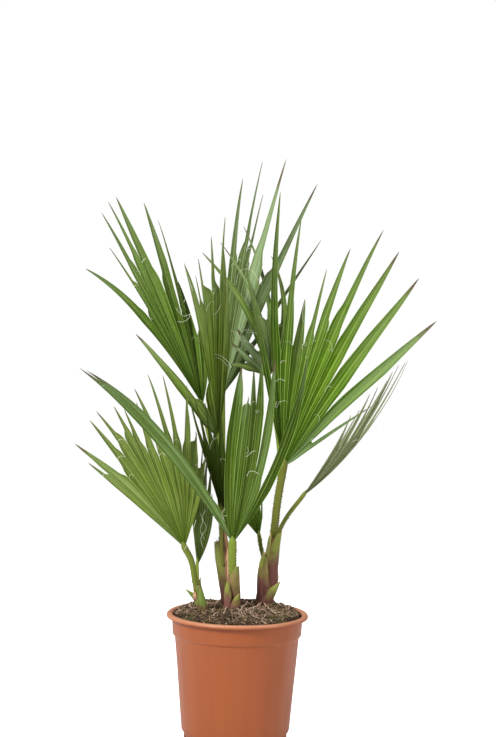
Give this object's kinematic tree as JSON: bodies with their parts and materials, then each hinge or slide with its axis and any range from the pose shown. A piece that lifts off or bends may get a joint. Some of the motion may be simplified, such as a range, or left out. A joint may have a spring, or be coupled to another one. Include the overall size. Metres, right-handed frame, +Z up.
{
  "type": "potted mexican fan palm",
  "caption": "Young Mexican fan palms with pleated fan leaves, planted in potting soil in a terracotta-coloured plastic nursery pot.",
  "frame": {"origin": "centre of the pot's base, on the floor", "axes": "+Z up along the pot's axis, -Y towards the viewer of the picture, +X to the viewer's right"},
  "size_m": [0.4727, 0.2423, 0.7831],
  "materials": {
    "pot": "satin terracotta-coloured plastic",
    "soil": "loose fibrous peat",
    "sheath": "satin purple-brown to green leaf bases",
    "leaf": "satin green leaf",
    "olive_leaf": "satin olive-green leaf",
    "dark_leaf": "satin dark green leaf"
  },
  "bodies": {
    "root": {"pot": "pot", "soil": "soil", "stem_left": "sheath", "stem_middle": "sheath", "stem_right": "sheath", "frond_back": "dark_leaf", "frond_centre_dark": "dark_leaf", "frond_centre_olive": "olive_leaf", "frond_front": "leaf", "frond_left_folded": "dark_leaf", "frond_left_low": "olive_leaf", "frond_right": "leaf", "frond_right_low": "olive_leaf", "frond_small": "leaf", "frond_top": "leaf", "frond_top_left": "leaf"}
  },
  "joints": []
}
